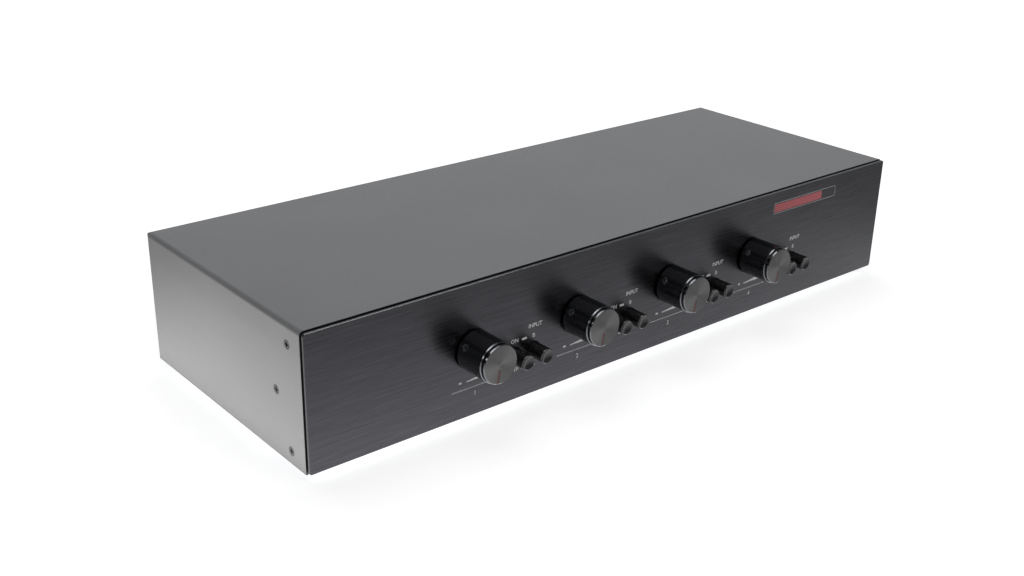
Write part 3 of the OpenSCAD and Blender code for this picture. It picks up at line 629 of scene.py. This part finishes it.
def round_frame(centre, width, height, radius, line):
    """A printed line round a rounded rectangle, closed on itself.

    Its section has four corners: the outer outline and the inner one, each in front and behind.
    A quad joins each two neighbours of the section at each two neighbours along the outline.
    """
    outer = round_outline(centre, width, height, radius)
    inner = round_outline(centre, width - 2 * line, height - 2 * line, radius - line)
    count = len(outer)
    points = np.concatenate([at_depth(outer, INK_FRONT), at_depth(inner, INK_FRONT),
                             at_depth(inner, INK_BACK), at_depth(outer, INK_BACK)])
    along, corner = np.meshgrid(np.arange(count), np.arange(4) * count, indexing="ij")
    ahead, next_corner = (along + 1) % count, (corner + count) % (4 * count)
    quads = np.stack([along + corner, ahead + corner, ahead + next_corner, along + next_corner], -1)
    return points, [tuple(quad) for quad in quads.reshape(-1, 4)]


def lettering(text, centre, height=LETTER_H):
    """Block letters as a print of the given height, its middle at a centre of X and Z.

    Each point is its place in the font less the middle, times height over the text's own height.
    The extrusion only tells the front points from the back ones.
    """
    curve = bpy.data.curves.new(text, "FONT")
    curve.body = text
    curve.extrude = 1.0
    curve.offset = LETTER_BOLDER
    curve.resolution_u = 4
    source = bpy.data.objects.new(text, curve)
    work = bmesh.new()
    work.from_mesh(source.to_mesh())
    bmesh.ops.remove_doubles(work, verts=work.verts, dist=LETTER_WELD)
    points = np.array([v.co[:] for v in work.verts])
    faces = [tuple(v.index for v in f.verts) for f in work.faces]
    work.free()
    source.to_mesh_clear()
    bpy.data.objects.remove(source)
    bpy.data.curves.remove(curve)
    low, high = points.min(axis=0), points.max(axis=0)
    scale = height / (high[1] - low[1])
    flat = (points[:, :2] - (low[:2] + high[:2]) / 2) * scale + centre
    return np.c_[flat[:, 0], np.where(points[:, 2] > 0, INK_FRONT, INK_BACK), flat[:, 1]], faces


def zone_marks(zone):
    """Shells of one zone's printed marks, measured from its knob's axis and its buttons."""
    x, knob_z = knob_axis(zone)
    on_x, _, button_z = size_of(f"on_button_{zone}")[2]
    input_x = size_of(f"input_button_{zone}")[2][0]
    upper_z, lower_z = button_z + UPPER_ROW, button_z + LOWER_ROW
    state_x = on_x + STATE_ASIDE
    volume = (x, knob_z + VOLUME_ROW)
    return [
        lettering("ON", (on_x + ON_ASIDE, upper_z)),
        lettering("OFF", (on_x + ON_ASIDE, lower_z)),
        lettering("INPUT", (input_x + INPUT_ASIDE, button_z + INPUT_ROW)),
        lettering("B", (input_x, upper_z - B_DROP)),
        lettering("A", (input_x, lower_z)),
        lettering(str(zone), (x + NUMBER_ASIDE, knob_z + NUMBER_ROW), NUMBER_H),
        bar((state_x, upper_z), *PRESSED_BAR),
        ink_slab(RELEASED_OUTLINE + (state_x, lower_z)),
        bar(volume, *QUIET_BAR),
        ink_slab(WEDGE_OUTLINE + volume),
    ]


def zone_line(zone):
    """The thin line under one zone's volume mark, from left of the knob to under the buttons."""
    x, knob_z = knob_axis(zone)
    return [bar((x, knob_z + LINE_ROW), *ZONE_BAR)]


def add_marks():
    """The prints of each zone, and the plain badge at the top right of the plate."""
    white = ink("white_print", "#d0d1d0", "#e8e8e8")
    grey = ink("grey_print", "#9a9b9c", "#aeafb0")
    red = ink("red_print", "#a04a50", "#b45a60")
    for zone in ZONES:
        on_case(new_piece(f"zone_marks_{zone}", zone_marks(zone)), white)
        on_case(new_piece(f"zone_line_{zone}", zone_line(zone)), grey)
    badge = round_frame(((BADGE_LEFT + BADGE_RIGHT) / 2, BADGE_Z), BADGE_RIGHT - BADGE_LEFT,
                        BADGE_H, BADGE_ROUND, BADGE_LINE)
    on_case(new_piece("badge_frame", [badge]), grey)
    fill_left = BADGE_LEFT + FILL_GAP
    fill = round_outline(((fill_left + FILL_RIGHT) / 2, BADGE_Z), FILL_RIGHT - fill_left, FILL_H,
                         FILL_ROUND)
    on_case(new_piece("badge_bar", [ink_slab(fill)]), red)


# ---------------------------------------------------------------- pointers in the caps

# The groove that the cap's CAD node has, less the enamel's slack at its sides, and where the
# enamel starts and ends behind the face
POINTER_ANGLE = math.radians(11)
POINTER_W = 1.36 * MM
POINTER_FROM = 3.03 * MM
POINTER_ROUND = 0.2 * MM
POINTER_SUNK = 0.06 * MM
POINTER_FLOOR = 0.3 * MM


def add_pointer(zone, enamel):
    """Enamel in the cap's groove: a bar from the groove's floor to just below the cap's face.

    Its outline runs straight down from POINTER_FROM to the chamfer. It is then turned clockwise by
    the angle a about the knob axis: x becomes x cos a + z sin a, z becomes z cos a - x sin a.
    """
    reach = CAP_R - CHAMFER
    outline = round_outline((0, -(POINTER_FROM + reach) / 2), POINTER_W, reach - POINTER_FROM,
                            POINTER_ROUND, steps=4)
    cosine, sine = math.cos(POINTER_ANGLE), math.sin(POINTER_ANGLE)
    turned = outline @ np.array([[cosine, -sine], [sine, cosine]]) + knob_axis(zone)
    shell = slab(turned, CAP_FACE + POINTER_SUNK, CAP_FACE + POINTER_FLOOR)
    piece = new_piece(f"pointer_inlay_{zone}", [shell])
    piece.data.materials.append(enamel)
    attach(piece, f"volume_{zone}")


# ---------------------------------------------------------------- floor and light

FLOOR_SIZE = 12
# How bright the floor glows: near the case and far from it, and the two distances in metres
GLOW_TO_CAMERA = (0.72, 0.9, 0.05, 0.5)
GLOW_IN_GLOSS = (1.2, 0.2, 0.0, 0.15)
# How much of its glow in gloss the floor has, at the first X and at the second one
GLOW_ALONG_X = (1.5, 0.92, -0.22, 0.05)
# How bright the world is, at the first place on the ball of directions and at the second one
SHADE_TO_BACK = (0.2, 0.78, -0.1, 0.6)
SHADE_TO_TOP = (1.0, 0.35, 0.45, 0.85)
SHADE_TO_RIGHT = (0.28, 1.0, -0.6, 0.0)
# Soft boxes: where they are, what they face, their width and height in metres, their brightness,
# and whether they show in gloss
SOFT_BOXES = {
    "overhead_box": ((0, 0.3, 1.3), (0, 0, 0), (1.0, 0.8), 1.7, False),
    "front_box": ((0.0, -0.75, 0.78), (0, -0.05, 0.03), (1.0, 0.18), 3.8, True),
    "catch_box": ((-0.69, -0.74, 0.32), (-0.1, -0.1, 0.04), (0.16, 0.12), 4.0, True),
}
# Light that the table throws up: the two corners of its rectangle as X and Y, and its brightness
BOUNCES = {
    "left_bounce": ((-0.45, -0.35), (-0.222, 0.10), 1.5),
    "near_left_bounce": ((-0.30, -0.12), (-0.222, 0.10), 0.9),
    "front_bounce": ((-0.25, -0.18), (0.25, -0.10), 0.8),
    "right_bounce": ((0.222, -0.30), (0.45, 0.12), 1.6),
    "rear_bounce": ((-0.25, 0.11), (0.25, 0.35), 1.6),
}
BOUNCE_Z = 2 * MM


def off_case(tree, axis, place):
    """How far a place on the floor lies beyond the case along one axis, and 0 beside the case."""
    half = (cover_high[axis] - cover_low[axis]) / 2
    from_middle = math_of(tree, "ABSOLUTE", math_of(tree, "SUBTRACT", place, cover_middle[axis]))
    return math_of(tree, "MAXIMUM", math_of(tree, "SUBTRACT", from_middle, half), 0.0)


def add_floor():
    """A pale matt floor under the feet, which glows to the camera and in gloss.

    To the camera it turns white away from the case, and keeps the case's shadow. In gloss it is
    bright beside the case, most so at its left end, and dims over 15 cm, so the plate and the sides
    grow lighter towards their lower edges.
    """
    bpy.ops.mesh.primitive_plane_add(size=FLOOR_SIZE, location=(0, 0, 0))
    floor = bpy.context.object
    floor.name = "floor"
    made, tree, shader = new_material("pale_floor", Base_Color=(0.7, 0.7, 0.7, 1), Roughness=0.9,
                                      Specular_IOR_Level=0.0, Emission_Color=(1, 1, 1, 1))
    axes = axes_of(tree, placed(tree))
    distance = length_of(tree, off_case(tree, 0, axes["X"]), off_case(tree, 1, axes["Y"]))
    ray = add_node(tree, "ShaderNodeLightPath").outputs
    to_camera = product(tree, ray["Is Camera Ray"], between(tree, distance, *GLOW_TO_CAMERA))
    mirrored = math_of(tree, "MAXIMUM", ray["Is Glossy Ray"], ray["Is Transmission Ray"])
    in_gloss = product(tree, mirrored, between(tree, distance, *GLOW_IN_GLOSS),
                       between(tree, axes["X"], *GLOW_ALONG_X))
    glow = math_of(tree, "ADD", to_camera, in_gloss)
    tree.links.new(glow, shader.inputs["Emission Strength"])
    floor.data.materials.append(made)


def add_world():
    """A studio that is pale low at the back right, dim elsewhere, and white to the camera."""
    world = bpy.data.worlds.new("studio")
    world.use_nodes = True
    bpy.context.scene.world = world
    tree = world.node_tree
    background = tree.nodes["Background"]
    axes = axes_of(tree, add_node(tree, "ShaderNodeTexCoord").outputs["Generated"])
    shade = product(tree, between(tree, axes["Y"], *SHADE_TO_BACK),
                    between(tree, axes["Z"], *SHADE_TO_TOP),
                    between(tree, axes["X"], *SHADE_TO_RIGHT))
    seen = add_node(tree, "ShaderNodeLightPath").outputs["Is Camera Ray"]
    tree.links.new(math_of(tree, "MAXIMUM", shade, seen), background.inputs["Strength"])
    tree.links.new(mixed(tree, seen, "#fafcff", "#ffffff"), background.inputs["Color"])


def add_area_light(name, place, turn, size, brightness, in_gloss):
    """A rectangle of light that the camera doesn't see. At brightness 1 its face is white."""
    data = bpy.data.lights.new(name, "AREA")
    data.shape = "RECTANGLE"
    data.size, data.size_y = size
    data.energy = brightness * size[0] * size[1] * math.pi
    light = bpy.data.objects.new(name, data)
    light.location = place
    light.rotation_euler = turn
    light.visible_camera = False
    light.visible_glossy = in_gloss
    bpy.context.scene.collection.objects.link(light)
    return light


def add_lights():
    """Soft boxes over the case and before its front, and what the table throws up on all its sides.

    The wide box before the front and the small one at its left draw the highlights round the upper
    left of the turned chamfers. The light off the table is faintly warm and faces straight up.
    """
    for name, (place, aim, size, brightness, in_gloss) in SOFT_BOXES.items():
        turn = (Vector(aim) - Vector(place)).to_track_quat("-Z", "Y").to_euler()
        add_area_light(name, place, turn, size, brightness, in_gloss)
    for name, (low, high, brightness) in BOUNCES.items():
        low, high = np.array(low), np.array(high)
        light = add_area_light(name, (*(low + high) / 2, BOUNCE_Z), (math.pi, 0, 0), high - low,
                               brightness, False)
        light.data.color = linear("#fffffb")[:3]


add_camera()
add_floor()
add_world()
add_lights()
dress_frame()
add_marks()
red_enamel = pointer_enamel()
for zone in ZONES:
    add_pointer(zone, red_enamel)

bpy.context.scene.view_settings.view_transform = "Standard"
